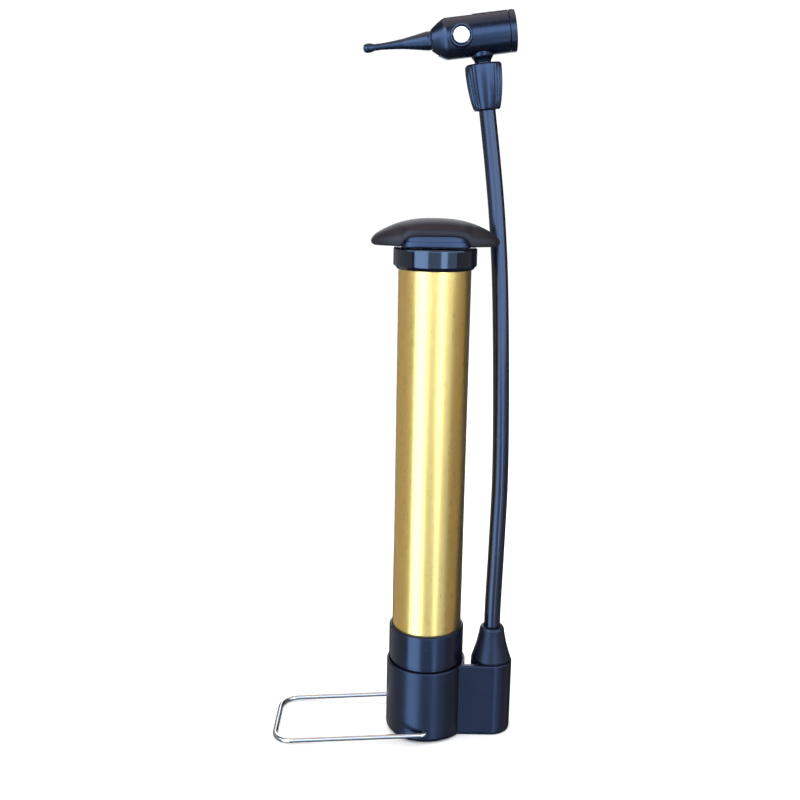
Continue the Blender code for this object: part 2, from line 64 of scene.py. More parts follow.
# ------------------------------------------------------------------ mesh helpers
def fillet(points, closed=True, steps=5):
    """Rounds the corners of a profile. A point is (r, z) or (r, z, rounding), in mm."""
    out, n = [], len(points)
    for i, p in enumerate(points):
        radius = p[2] if len(p) > 2 else 0.0
        if radius <= 0 or (not closed and i in (0, n - 1)):
            out.append((p[0], p[1]))
            continue
        a, b, c = Vector(points[i - 1][:2]), Vector(p[:2]), Vector(points[(i + 1) % n][:2])
        u, v = (a - b), (c - b)
        lu, lv = u.length, v.length
        u.normalize()
        v.normalize()
        half = u.angle(v) / 2
        d = min(radius / math.tan(half), lu * 0.48, lv * 0.48)
        r = d * math.tan(half)
        centre = b + (u + v).normalized() * (r / math.sin(half))
        s, e = b + u * d - centre, b + v * d - centre
        a0 = math.atan2(s.y, s.x)
        sweep = (math.atan2(e.y, e.x) - a0 + math.pi) % TAU - math.pi
        for k in range(steps + 1):
            t = a0 + sweep * k / steps
            out.append((centre.x + r * math.cos(t), centre.y + r * math.sin(t)))
    return out


def new_object(name, bm, matrix=None, recalc=True):
    if recalc:
        bmesh.ops.recalc_face_normals(bm, faces=bm.faces)
    mesh = bpy.data.meshes.new(name)
    bm.to_mesh(mesh)
    bm.free()
    if matrix is not None:
        mesh.transform(matrix)
    obj = bpy.data.objects.new(name, mesh)
    bpy.context.scene.collection.objects.link(obj)
    return obj


def lathe(name, profile, sides=128, closed=True, matrix=None, wobble=None):
    """A turned shape about Z, from an outline in mm whose corners may be rounded. wobble(angle, r, z) may change r."""
    bm = bmesh.new()
    rings = []
    for r, z in fillet(profile, closed):
        if r < 1e-6:
            rings.append([bm.verts.new((0, 0, z * MM))])
        else:
            ring = []
            for i in range(sides):
                a = TAU * i / sides
                rr = wobble(a, r, z) if wobble else r
                ring.append(bm.verts.new((rr * math.cos(a) * MM, rr * math.sin(a) * MM, z * MM)))
            rings.append(ring)
    pairs = list(zip(rings, rings[1:]))
    if closed:
        pairs.append((rings[-1], rings[0]))
    for a, b in pairs:
        for i in range(sides):
            j = (i + 1) % sides
            quad = [a[i % len(a)], a[j % len(a)], b[j % len(b)], b[i % len(b)]]
            face = []
            for v in quad:
                if v not in face:
                    face.append(v)
            if len(face) > 2:
                bm.faces.new(face)
    return new_object(name, bm, matrix)


def tube(name, points, radius, sides=24, rounded=0.0):
    """A round tube along points (mm), with a UV map: u is around, v is the length in metres. Its ends are closed."""
    pts = [Vector(p) for p in points]
    n = len(pts)
    tangents = [(pts[min(i + 1, n - 1)] - pts[max(i - 1, 0)]).normalized() for i in range(n)]
    side = tangents[0].orthogonal().normalized()
    bm = bmesh.new()
    uv = bm.loops.layers.uv.new("UVMap")
    rings, along = [], [0.0]
    for p, q in zip(pts, pts[1:]):
        along.append(along[-1] + (q - p).length)
    total = along[-1]
    stations = []
    for i in range(n):
        if i:
            axis = tangents[i - 1].cross(tangents[i])
            if axis.length > 1e-9:
                side = Matrix.Rotation(tangents[i - 1].angle(tangents[i]), 3, axis.normalized()) @ side
        side = (side - tangents[i] * side.dot(tangents[i])).normalized()
        stations.append((pts[i], tangents[i], side.copy(), radius if not callable(radius) else radius(along[i], total), along[i]))
    if rounded:
        p, t, s, r, l = stations[0]
        first = [(p + t * (rounded * (1 - math.cos(a)) - rounded), t, s, r - rounded * (1 - math.sin(a)), l) for a in (0.0, 0.4, 0.8, 1.2)]
        p, t, s, r, l = stations[-1]
        last = [(p + t * (rounded - rounded * (1 - math.cos(a))), t, s, r - rounded * (1 - math.sin(a)), l) for a in (1.2, 0.8, 0.4, 0.0)]
        stations = first + stations + last
    for p, t, s, r, l in stations:
        up = t.cross(s)
        rings.append([bm.verts.new((p + (s * math.cos(TAU * k / sides) + up * math.sin(TAU * k / sides)) * r) * MM) for k in range(sides)])
    for i, (a, b) in enumerate(zip(rings, rings[1:])):
        for k in range(sides):
            j = (k + 1) % sides
            face = bm.faces.new((a[k], a[j], b[j], b[k]))
            for loop, (u, v) in zip(face.loops, ((k, i), (k + 1, i), (k + 1, i + 1), (k, i + 1))):
                loop[uv].uv = (u / sides, stations[v][4] * MM)
    bm.faces.new(rings[0][::-1])
    bm.faces.new(rings[-1])
    return new_object(name, bm)


def box(low, high, matrix=None):
    bm = bmesh.new()
    bmesh.ops.create_cube(bm, size=1.0)
    for v in bm.verts:
        v.co = Vector((low[i] + (high[i] - low[i]) * (v.co[i] + 0.5)) * MM for i in range(3))
    return new_object("cutter", bm, matrix)


def drum(radius, length, matrix=None, sides=96, edge=0.0):
    """A cylinder about its own Z, centred, for joining or cutting."""
    h = length / 2
    return lathe("cutter", [(0, h), (radius, h, edge), (radius, -h, edge), (0, -h)], sides, False, matrix)


def combine(obj, others):
    """Boolean joins and cuts, applied. others is [(object, "UNION" or "DIFFERENCE"), ...]."""
    for other, operation in others:
        mod = obj.modifiers.new("cut", "BOOLEAN")
        mod.operation, mod.object, mod.solver = operation, other, "EXACT"
    bpy.context.view_layer.update()
    mesh = bpy.data.meshes.new_from_object(obj.evaluated_get(bpy.context.evaluated_depsgraph_get()))
    obj.modifiers.clear()
    old = obj.data
    obj.data = mesh
    bpy.data.meshes.remove(old)
    obj.data.name = obj.name
    for other, _ in others:
        bpy.data.objects.remove(other, do_unlink=True)
    bm = bmesh.new()
    bm.from_mesh(obj.data)
    bmesh.ops.remove_doubles(bm, verts=bm.verts, dist=2e-7)
    bmesh.ops.dissolve_degenerate(bm, edges=bm.edges, dist=2e-7)
    bm.to_mesh(obj.data)
    bm.free()
    return obj


def move(x=0.0, y=0.0, z=0.0):
    return Matrix.Translation((x * MM, y * MM, z * MM))


HEAD = move(HEAD_X, HOSE_BACK, HEAD_Z) @ Matrix.Rotation(math.radians(-HEAD_TILT), 4, "Y")
ALONG = Matrix.Rotation(math.pi / 2, 4, "Y")
ACROSS = Matrix.Rotation(math.pi / 2, 4, "X")


def finish_piece(obj, body, nodes, mat, angle=32, weighted=True):
    """Shades it, gives it its material, and sets what it rides on and stands for."""
    obj.data.shade_smooth()
    obj.data.set_sharp_from_angle(angle=math.radians(angle))
    if weighted:
        mod = obj.modifiers.new("normals", "WEIGHTED_NORMAL")
        mod.keep_sharp = True
        mod.weight = 60
    obj.data.materials.clear()
    obj.data.materials.append(mat)
    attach(obj, body)
    if nodes:
        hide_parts(*([nodes] if isinstance(nodes, str) else nodes))
    return obj


# ------------------------------------------------------------------ materials
class Nodes:
    """Short hand for building a node material."""

    def __init__(self, name):
        self.mat = bpy.data.materials.new(name)
        self.mat.use_nodes = True
        self.tree = self.mat.node_tree
        self.shader = self.tree.nodes["Principled BSDF"]
        self.coords = self.new("ShaderNodeTexCoord")

    def new(self, kind, **values):
        node = self.tree.nodes.new(kind)
        for key, value in values.items():
            setattr(node, key, value)
        return node

    def link(self, a, b):
        self.tree.links.new(a, b)

    def put(self, **values):
        for key, value in values.items():
            self.shader.inputs[key.replace("_", " ")].default_value = value

    def scaled(self, scale, source="Object"):
        node = self.new("ShaderNodeMapping")
        node.inputs["Scale"].default_value = scale
        self.link(self.coords.outputs[source], node.inputs["Vector"])
        return node.outputs["Vector"]

    def noise(self, scale, detail=2.0, stretch=(1, 1, 1), rough=0.5, distortion=0.0, source="Object"):
        node = self.new("ShaderNodeTexNoise")
        node.inputs["Scale"].default_value = scale
        node.inputs["Detail"].default_value = detail
        node.inputs["Roughness"].default_value = rough
        node.inputs["Distortion"].default_value = distortion
        self.link(self.scaled(stretch, source), node.inputs["Vector"])
        return node.outputs["Fac"]

    def voronoi(self, scale, stretch=(1, 1, 1), feature="F1"):
        node = self.new("ShaderNodeTexVoronoi", feature=feature)
        node.inputs["Scale"].default_value = scale
        self.link(self.scaled(stretch), node.inputs["Vector"])
        return node.outputs["Distance"]

    def ramp(self, value, low, high, out_low=0.0, out_high=1.0, smooth=True):
        node = self.new("ShaderNodeMapRange")
        if smooth:
            node.interpolation_type = "SMOOTHSTEP"
        node.inputs["From Min"].default_value = low
        node.inputs["From Max"].default_value = high
        node.inputs["To Min"].default_value = out_low
        node.inputs["To Max"].default_value = out_high
        self.link(value, node.inputs["Value"])
        return node.outputs["Result"]

    def math(self, operation, a, b=None):
        node = self.new("ShaderNodeMath", operation=operation)
        for socket, value in zip(node.inputs, (a, b)):
            if value is None:
                continue
            if isinstance(value, (int, float)):
                socket.default_value = value
            else:
                self.link(value, socket)
        return node.outputs[0]

    def mix(self, factor, a, b):
        node = self.new("ShaderNodeMix", data_type="RGBA")
        for socket, value in ((node.inputs[0], factor), (node.inputs[6], a), (node.inputs[7], b)):
            if isinstance(value, (int, float)):
                socket.default_value = value
            elif isinstance(value, tuple):
                socket.default_value = (*value, 1.0)
            else:
                self.link(value, socket)
        return node.outputs[2]

    def bump(self, height, distance, strength=1.0, normal=None):
        node = self.new("ShaderNodeBump")
        node.inputs["Distance"].default_value = distance
        node.inputs["Strength"].default_value = strength
        self.link(height, node.inputs["Height"])
        if normal is not None:
            self.link(normal, node.inputs["Normal"])
        return node.outputs["Normal"]

    def edges(self, radius):
        """About 0 on open surfaces and up to 1 on edges that are sharper than the radius."""
        bevel = self.new("ShaderNodeBevel")
        bevel.samples = 6
        bevel.inputs["Radius"].default_value = radius
        geometry = self.new("ShaderNodeNewGeometry")
        dot = self.new("ShaderNodeVectorMath", operation="DOT_PRODUCT")
        self.link(bevel.outputs["Normal"], dot.inputs[0])
        self.link(geometry.outputs["Normal"], dot.inputs[1])
        return self.ramp(dot.outputs["Value"], 0.995, 0.90)

    def colour(self, socket):
        self.link(socket, self.shader.inputs["Base Color"])

    def roughness(self, socket):
        self.link(socket, self.shader.inputs["Roughness"])

    def normal(self, socket):
        self.link(socket, self.shader.inputs["Normal"])


def moulded(name, colour, edge_wear_and_highlight_colour, rough, grain=0.000003, tint=(0.44, 0.62, 1.0), specular=0.8, cloud=0.02, wear_and_highlight=0.45):
    """Injection-moulded plastic: fine spark-eroded grain, faint flow clouding, hairline scratches, and paler edges that
    are partly wear and partly a painted edge highlight.
    """
    n = Nodes(name)
    clouds = n.noise(60, 3, rough=0.5)
    fine = n.noise(5200, 2)
    scratch = n.ramp(n.noise(900, 2, stretch=(1, 0.05, 0.6), rough=0.6, distortion=0.8), 0.66, 0.72)
    scratch2 = n.ramp(n.noise(760, 2, stretch=(0.06, 1, 0.3), rough=0.6, distortion=0.6), 0.67, 0.73)
    lines = n.math("MAXIMUM", scratch, scratch2)
    # Paler edges: partly rubbed wear and partly a painted edge highlight, mixed toward the edge colour.
    worn_and_highlit_edges = n.math("MULTIPLY", n.edges(0.00045), n.ramp(n.noise(420, 3, rough=0.6), 0.25, 0.55, 0.35, 1.0))
    low = tuple(c * 0.9 for c in colour)
    high = tuple(c * 1.12 for c in colour)
    base = n.mix(n.ramp(clouds, 0.35, 0.65), low, high)
    base = n.mix(n.math("MULTIPLY", worn_and_highlit_edges, wear_and_highlight), base, edge_wear_and_highlight_colour)
    n.colour(base)
    r = n.ramp(clouds, 0.3, 0.7, rough - cloud, rough + cloud)
    r = n.math("ADD", r, n.math("MULTIPLY", lines, 0.035))
    r = n.math("ADD", r, n.math("MULTIPLY", worn_and_highlit_edges, 0.05))
    n.roughness(r)
    n.normal(n.bump(fine, grain, 0.5))
    n.put(Specular_IOR_Level=specular)
    n.shader.inputs["Specular Tint"].default_value = (*tint, 1.0)
    return n.mat


def rubbery(name, colour, rough, length_lines=False, tint=(0.46, 0.63, 1.0), specular=0.7, pit=0.000006):
    """Rubber or soft PVC: matt bloom, fine pits, and on a hose faint lines along its length."""
    n = Nodes(name)
    clouds = n.noise(110, 3, rough=0.55)
    pits = n.noise(3800, 3)
    dust = n.ramp(n.noise(1500, 3, rough=0.8), 0.62, 0.80)
    low = tuple(c * 0.88 for c in colour)
    high = tuple(c * 1.15 for c in colour)
    base = n.mix(n.ramp(clouds, 0.35, 0.65), low, high)
    base = n.mix(n.math("MULTIPLY", dust, 0.05), base, (0.12, 0.12, 0.13))
    n.colour(base)
    n.roughness(n.ramp(clouds, 0.3, 0.7, rough - 0.025, rough + 0.03))
    height = n.bump(pits, pit, 0.45)
    if length_lines:
        lines = n.noise(1.0, 2, stretch=(90, 6, 1), source="UV")
        height = n.bump(lines, 0.000012, 0.3, height)
    n.normal(height)
    n.put(Specular_IOR_Level=specular)
    n.shader.inputs["Specular Tint"].default_value = (*tint, 1.0)
    return n.mat


def turned_metal(name, colour, rough, axis="z", line=9000, bump=0.000003, metallic=1.0, dull=None):
    """Metal with fine turning lines round its axis and a faint, uneven tarnish."""
    n = Nodes(name)
    stretch = {"z": (0.02, 0.02, 1), "x": (1, 0.02, 0.02), "none": (1, 1, 1)}[axis]
    lines = n.noise(line, 2, stretch=stretch)
    clouds = n.noise(180, 4, rough=0.65)
    dull = dull or tuple(c * 0.72 for c in colour)
    n.colour(n.mix(n.ramp(clouds, 0.4, 0.7), colour, dull))
    r = n.ramp(clouds, 0.3, 0.7, rough - 0.04, rough + 0.07)
    n.roughness(n.math("ADD", r, n.math("MULTIPLY", lines, 0.06)))
    n.normal(n.bump(lines, bump, 0.6))
    n.put(Metallic=metallic)
    return n.mat


def anodised_gold():
    """Satin anodised aluminium tube: fine drawn lines run the tube's length, under a thin clear dyed layer with faint clouding."""
    n = Nodes("anodised_gold")
    drawn = n.noise(3000, 2, stretch=(1, 1, 0.010), rough=0.6)
    broad = n.noise(500, 2, stretch=(1, 1, 0.012))
    mottle = n.noise(380, 2, stretch=(1, 1, 0.75), rough=0.5)
    tone = n.noise(60, 3, stretch=(1, 1, 0.4), rough=0.5)
    base = n.mix(n.ramp(mottle, 0.15, 0.85), (0.860, 0.588, 0.170), (0.900, 0.622, 0.192))
    base = n.mix(n.math("MULTIPLY", n.ramp(tone, 0.40, 0.65), 0.40), base, (0.800, 0.570, 0.165))
    n.colour(base)
    r = n.ramp(drawn, 0.3, 0.7, 0.275, 0.325)
    r = n.math("ADD", r, n.ramp(mottle, 0.2, 0.8, -0.008, 0.010))
    n.roughness(r)
    n.normal(n.bump(broad, 0.000003, 0.25))
    n.put(Metallic=1.0, Coat_Weight=0.35, Coat_Roughness=0.2)
    return n.mat


NAVY = (0.0026, 0.0032, 0.0080)
# The edge colour is paler than the body: partly wear, partly a painted edge highlight.
EDGE_WEAR_AND_HIGHLIGHT = (0.045, 0.051, 0.076)
plastic = moulded("moulded_plastic", NAVY, EDGE_WEAR_AND_HIGHLIGHT, 0.235, specular=0.74)
base_plastic = moulded("base_plastic", NAVY, EDGE_WEAR_AND_HIGHLIGHT, 0.31, specular=0.62)
cap_plastic = moulded("cap_plastic", NAVY, EDGE_WEAR_AND_HIGHLIGHT, 0.120, specular=1.0, cloud=0.010, tint=(0.60, 0.78, 1.0))
head_plastic = moulded("valve_head_plastic", NAVY, EDGE_WEAR_AND_HIGHLIGHT, 0.27, specular=0.80)
grip_plastic = moulded("grip_plastic", (0.0120, 0.0104, 0.0122), (0.055, 0.051, 0.057), 0.46, grain=0.000007, tint=(0.74, 0.78, 0.96), specular=0.24)
# The hub gets a bluer, glossier copy of the grip plastic: its blue is a painted sheen on the same plastic.
hub_painted_sheen_plastic = moulded("grip_hub_painted_sheen", (0.0060, 0.0085, 0.0170), (0.060, 0.072, 0.105), 0.44, grain=0.000006, specular=1.0)
boot_rubber = rubbery("boot_rubber", (0.0058, 0.0068, 0.0125), 0.38, specular=0.42)
hose_rubber = rubbery("hose_rubber", (0.0034, 0.0040, 0.0085), 0.20, length_lines=True, tint=(0.56, 0.68, 1.0), specular=0.76)
seal_rubber = rubbery("seal_rubber", (0.022, 0.022, 0.025), 0.55, tint=(1, 1, 1))
gold = anodised_gold()
chrome = turned_metal("chrome_plate", (0.56, 0.565, 0.58), 0.10, "none", 2600, 0.000002, dull=(0.48, 0.48, 0.49))
pin_steel = turned_metal("polished_pin", (0.80, 0.77, 0.72), 0.22, "none", 3000, 0.000002, dull=(0.70, 0.67, 0.62))
steel = turned_metal("ground_steel", (0.60, 0.60, 0.62), 0.24)
brass = turned_metal("turned_brass", (0.80, 0.58, 0.26), 0.28, dull=(0.50, 0.34, 0.14))
nylon = moulded("natural_nylon", (0.62, 0.60, 0.53), (0.75, 0.73, 0.66), 0.42, tint=(1, 1, 1), specular=0.5)

# ------------------------------------------------------------------ camera
camera = bpy.data.objects.new("camera", bpy.data.cameras.new("camera"))
bpy.context.scene.collection.objects.link(camera)
camera.data.sensor_width = 36.0
camera.data.lens = 46.4
camera.data.clip_start, camera.data.clip_end = 0.02, 60.0
camera.matrix_world = (
    Matrix.Translation((-0.01546, -0.4910, 0.2881))
    @ Matrix.Rotation(math.radians(90 - 13.02), 4, "X")
    @ Matrix.Rotation(math.radians(0.955), 4, "Z")
)
bpy.context.scene.camera = camera

# ------------------------------------------------------------------ hose route, as in the CAD model
tilt = math.radians(HEAD_TILT)


def hermite(knots, count):
    """Points along a smooth curve through the knots, evenly spread by length."""
    fine = []
    knots = [Vector(k) for k in knots]
    for i in range(len(knots) - 1):
        a, b = knots[i], knots[i + 1]
        before = knots[i - 1] if i else a - (b - a)
        after = knots[i + 2] if i + 2 < len(knots) else b + (b - a)
        span = (b - a).length
        ta = (b - before) / (b - before).length * span
        tb = (after - a) / (after - a).length * span
        for k in range(40):
            t = k / 40
            h1, h2 = 2 * t**3 - 3 * t**2 + 1, t**3 - 2 * t**2 + t
            h3, h4 = -2 * t**3 + 3 * t**2, t**3 - t**2
            fine.append(a * h1 + ta * h2 + b * h3 + tb * h4)
    fine.append(knots[-1])
    along = [0.0]
    for p, q in zip(fine, fine[1:]):
        along.append(along[-1] + (q - p).length)
    out, j = [], 0
    for i in range(count):
        want = along[-1] * i / (count - 1)
        while j < len(fine) - 2 and along[j + 1] < want:
            j += 1
        f = (want - along[j]) / max(along[j + 1] - along[j], 1e-9)
        out.append(fine[j].lerp(fine[j + 1], min(max(f, 0.0), 1.0)))
    return out


def in_head(distance):
    return (HEAD_X + distance * math.sin(tilt), HOSE_BACK, HEAD_Z - distance * math.cos(tilt))


def lean(z, x):
    t = min(max((z - 60) / 255, 0), 1)
    return (x, HOSE_BACK * (3 * t * t - 2 * t**3), z)


knots = [
    (BOSS_X - 0.2, 0, HOSE_START_Z),
    lean(66, 33.8),
    lean(98, 34.6),
    lean(135, 35.5),
    lean(182, 34.9),
    lean(230, 33.3),
    lean(262, 31.0),
    lean(290, 27.8),
    in_head(36),
    in_head(22.4),
]
route = hermite(knots, 150)
hose = tube("air_hose_fine", route, HOSE_R, 40)
finish_piece(hose, "pump_body", "air_hose", hose_rubber, weighted=False)

# ------------------------------------------------------------------ barrel, collar and cap
barrel = lathe(
    "barrel_fine",
    [
        (BARREL_R, BARREL_TOP, 0.4),
        (BARREL_R, 200),
        (BARREL_R, 140),
        (BARREL_R, 80),
        (BARREL_R, BARREL_BOTTOM, 0.3),
        (BARREL_R - BARREL_WALL, BARREL_BOTTOM, 0.2),
        (BARREL_R - BARREL_WALL, BARREL_TOP, 0.3),
    ],
    192,
)
finish_piece(barrel, "pump_body", "barrel_tube", gold)

collar = lathe(
    "bottom_collar_fine",
    [
        (COLLAR_R - 0.75, COLLAR_TOP, 0.25),
        (COLLAR_R, COLLAR_TOP - 0.75, 0.4),
        (COLLAR_R, COLLAR_BOTTOM + 1.3, 0.3),
        (18.35, COLLAR_BOTTOM + 1.3),
        (18.35, COLLAR_SEAT_Z + 0.3, 0.2),
        (SOCKET_R, COLLAR_SEAT_Z + 0.3),
        (SOCKET_R, COLLAR_TOP, 0.2),
    ],
    192,
)
finish_piece(collar, "pump_body", "bottom_collar", plastic)

cap = lathe(
    "top_cap_fine",
    [
        (CAP_R, CAP_TOP, 1.0),
        (CAP_R, CAP_BOTTOM + 1.8, 0.6),
        (CAP_R - 1.4, CAP_BOTTOM, 0.5),
        (SOCKET_R, CAP_BOTTOM, 0.2),
        (SOCKET_R, 245.7),
        (8.8, 245.7),
        (8.8, 238.0, 0.3),
        (6.3, 238.0, 0.2),
        (6.3, CAP_TOP, 0.3),
    ],
    192,
)
finish_piece(cap, "pump_body", "top_cap", cap_plastic)

# ------------------------------------------------------------------ base
VALLEY = 0.7


def base_plan():
    """The base's outline: points, outward normals, and how much of the bottom's rounding each takes."""
    cx = math.sqrt((BASE_R + VALLEY) ** 2 - (BOSS_R + VALLEY) ** 2)
    cy = BOSS_R + VALLEY
    phi = math.atan2(cy, cx)
    out = []
    for i in range(151):
        a = phi + (TAU - 2 * phi) * i / 150
        n = Vector((math.cos(a), math.sin(a)))
        near = min(i, 150 - i) / 14
        out.append((n * BASE_R, n, 0.3 + 0.7 * min(1, near)))
    for i in range(1, 9):
        a = math.pi - phi - (math.pi / 2 - phi) * i / 8
        out.append((Vector((cx + VALLEY * math.cos(a), -cy + VALLEY * math.sin(a))), Vector((-math.cos(a), -math.sin(a))), 0.3))
    for i in range(1, 6):
        out.append((Vector((cx + (BOSS_X - cx) * i / 6, -BOSS_R)), Vector((0, -1)), 0.3))
    for i in range(49):
        a = -math.pi / 2 + math.pi * i / 48
        n = Vector((math.cos(a), math.sin(a)))
        out.append((Vector((BOSS_X, 0)) + n * BOSS_R, n, 0.3))
    for i in range(5, 0, -1):
        out.append((Vector((cx + (BOSS_X - cx) * i / 6, BOSS_R)), Vector((0, 1)), 0.3))
    for i in range(8, 0, -1):
        a = math.pi - phi - (math.pi / 2 - phi) * i / 8
        out.append((Vector((cx + VALLEY * math.cos(a), cy - VALLEY * math.sin(a))), Vector((-math.cos(a), math.sin(a))), 0.3))
    return out


def base_solid(name):
    plan = base_plan()
    levels = [(0.0, 3.0)]
    for k in range(1, 9):
        a = math.pi / 2 * k / 8
        levels.append((3.0 * (1 - math.cos(a)), 3.0 * (1 - math.sin(a))))
    levels += [(10, 0), (20, 0), (30, 0)]
    bm = bmesh.new()
    rings = []
    for z, inset in levels:
        ring = []
        for p, n, w in plan:
            q = p - n * inset * w
            ring.append(bm.verts.new((q.x * MM, q.y * MM, (z if z >= 3 or w == 1 else z * (w + (1 - w) * z / 3)) * MM)))
        rings.append(ring)
    for k in range(6):
        a = math.pi / 2 * k / 5
        r = 0.8
        z, inset = BASE_H - r + r * math.sin(a), r * (1 - math.cos(a))
        rings.append([bm.verts.new(((p - n * inset).x * MM, (p - n * inset).y * MM, z * MM)) for p, n, w in plan])
    count = len(plan)
    for a, b in zip(rings, rings[1:]):
        for i in range(count):
            j = (i + 1) % count
            bm.faces.new((a[i], a[j], b[j], b[i]))
    bm.faces.new(rings[0][::-1])
    bm.faces.new(rings[-1])
    return new_object(name, bm)


base = base_solid("base_body_fine")
socket = lathe(
    "cutter",
    [
        (0, 60),
        (21.0, 60),
        (21.0, BASE_H + 2.0),
        (COLLAR_SEAT_R + 0.35, BASE_H, 0.3),
        (COLLAR_SEAT_R, BASE_H - 0.7),
        (COLLAR_SEAT_R, COLLAR_SEAT_Z),
        (SOCKET_R, COLLAR_SEAT_Z),
        (SOCKET_R, SOCKET_FLOOR),
        (0, SOCKET_FLOOR),
    ],
    192,
    False,
)
cuts = [(socket, "DIFFERENCE")]
cuts.append((drum(CHAMBER_R, 40, move(BOSS_X, 0, 34)), "DIFFERENCE"))
cuts.append((drum(2.4, 20, move(BOSS_X, 0, 19.5), 48), "DIFFERENCE"))
for side in (-1, 1):
    cuts.append((drum(STIRRUP_HOLE_R, 20, move(0, side * 21.5, STIRRUP_Z) @ ACROSS, 48), "DIFFERENCE"))
pocket = box((12, -BOSS_R + WEB, WEB_FOOT_Z), (BOSS_X - 2, 12, 45))
combine(pocket, [(drum(BASE_R + 0.3, 120, None, 192), "DIFFERENCE"), (drum(BOSS_R, 120, move(BOSS_X, 0, 0), 96), "DIFFERENCE")])
cuts.append((pocket, "DIFFERENCE"))
combine(base, cuts)
finish_piece(base, "pump_body", "base_body", base_plastic)

# ------------------------------------------------------------------ hose boot
boot = lathe(
    "strain_relief_fine",
    [
        (4.75, 56.6, 0.3),
        (5.6, 56.4, 0.4),
        (6.2, 55.2, 0.6),
        (6.6, 52.5, 1.5),
        (7.6, 47.6, 3.0),
        (9.1, 42.4, 3.0),
        (9.75, 40.3, 0.5),
        (9.9, 39.9, 0.3),
        (9.9, BASE_H + 0.3, 0.25),
        (6.4, BASE_H + 0.3),
        (6.4, 43.4),
        (4.5, 44.6),
        (4.5, 56.6),
    ],
    128,
    True,
    move(BOSS_X - 0.2, 0, 0),
)
finish_piece(boot, "pump_body", "strain_relief", boot_rubber)

# ------------------------------------------------------------------ grip
def grip_depth(f):
    return HANDLE_DEPTH * max(1 - f**2.6, 0.0) ** (1 / 2.1)


def grip_top(f):
    return HANDLE_TOP - 9.0 * f**2.5


def grip_under(x):
    f = min(abs(x) / 16.3, 1.0)
    return HANDLE_BOTTOM + 0.2 + 4.6 * (1 - f**6) ** 0.9


def hub_scale(angle):
    """Plan of the hub: flat front, back and sides with well rounded corners, as a share of its half width."""
    return 1 / (abs(math.cos(angle)) ** 5 + abs(1.1 * math.sin(angle)) ** 5) ** 0.2


def power(value, exponent):
    return math.copysign(abs(value) ** exponent, value)


def grip_solid(name, stations=120, around=72):
    bm = bmesh.new()
    rings = []
    for i in range(1, stations):
        t = math.pi * i / stations
        x = -HANDLE_HALF * math.cos(t)
        f = abs(x) / HANDLE_HALF
        depth, top, under = grip_depth(f), grip_top(f), grip_under(x)
        middle = (top + under) / 2
        if f > 0.92:
            s = math.sqrt(max(1 - ((f - 0.92) / 0.08) ** 2, 0.0))
            top, under = middle + (top - middle) * (0.12 + 0.88 * s), middle + (under - middle) * (0.12 + 0.88 * s)
        edge = under + min(2.2, (top - under) * 0.5)
        ring = []
        for k in range(around):
            a = TAU * k / around
            y = -depth * power(math.cos(a), 0.85 if math.sin(a) < 0 else 1.0)
            s = math.sin(a)
            z = edge + (top - edge) * abs(s) ** 0.86 if s >= 0 else edge - (edge - under) * abs(s) ** 0.42
            ring.append(bm.verts.new((x * MM, y * MM, z * MM)))
        rings.append(ring)
    for a, b in zip(rings, rings[1:]):
        for k in range(around):
            j = (k + 1) % around
            bm.faces.new((a[k], a[j], b[j], b[k]))
    for ring, end in ((rings[0], -1), (rings[-1], 1)):
        middle = sum((v.co for v in ring), Vector()) / around
        tip = bm.verts.new((end * HANDLE_HALF * MM, 0, middle.z))
        for k in range(around):
            j = (k + 1) % around
            bm.faces.new((ring[k], ring[j], tip) if end > 0 else (ring[j], ring[k], tip))
    return new_object(name, bm)


handle = grip_solid("handle_grip_fine")
hub = lathe(
    "cutter",
    [(0, 258.6), (16.2, 258.6), (16.45, 252.6, 0.4), (16.7, 252.2, 0.3), (16.7, 250.2, 0.5), (16.3, HANDLE_BOTTOM, 0.3), (0, HANDLE_BOTTOM)],
    200,
    False,
    None,
    lambda angle, r, z: r * hub_scale(angle),
)
combine(handle, [(hub, "UNION"), (drum(6.9, 20, move(0, 0, 248.4)), "DIFFERENCE")])
finish_piece(handle, "plunger", "handle_grip", grip_plastic)
# The hub's upright faces take that bluer copy of the grip plastic, which paints their bright blue sheen.
handle.data.materials.append(hub_painted_sheen_plastic)
for face in handle.data.polygons:
    c = face.center
    if c.z < 254.6 * MM and 15.9 * MM < math.hypot(c.x, c.y) / hub_scale(math.atan2(c.y, c.x)) < 16.9 * MM and abs(face.normal.z) < 0.8:
        face.material_index = 1

rod_fine = lathe(
    "piston_rod_fine",
    [(0, ROD_TOP), (ROD_R, ROD_TOP, 0.5), (ROD_R, 190), (ROD_R, 120), (ROD_R, 60), (ROD_R, ROD_BOTTOM, 0.5), (0, ROD_BOTTOM)],
    96,
    False,
)
finish_piece(rod_fine, "plunger", "piston_rod", steel)

# ------------------------------------------------------------------ stirrup
droop = math.asin((STIRRUP_Z - WIRE_R - 0.1) / STIRRUP_REACH)


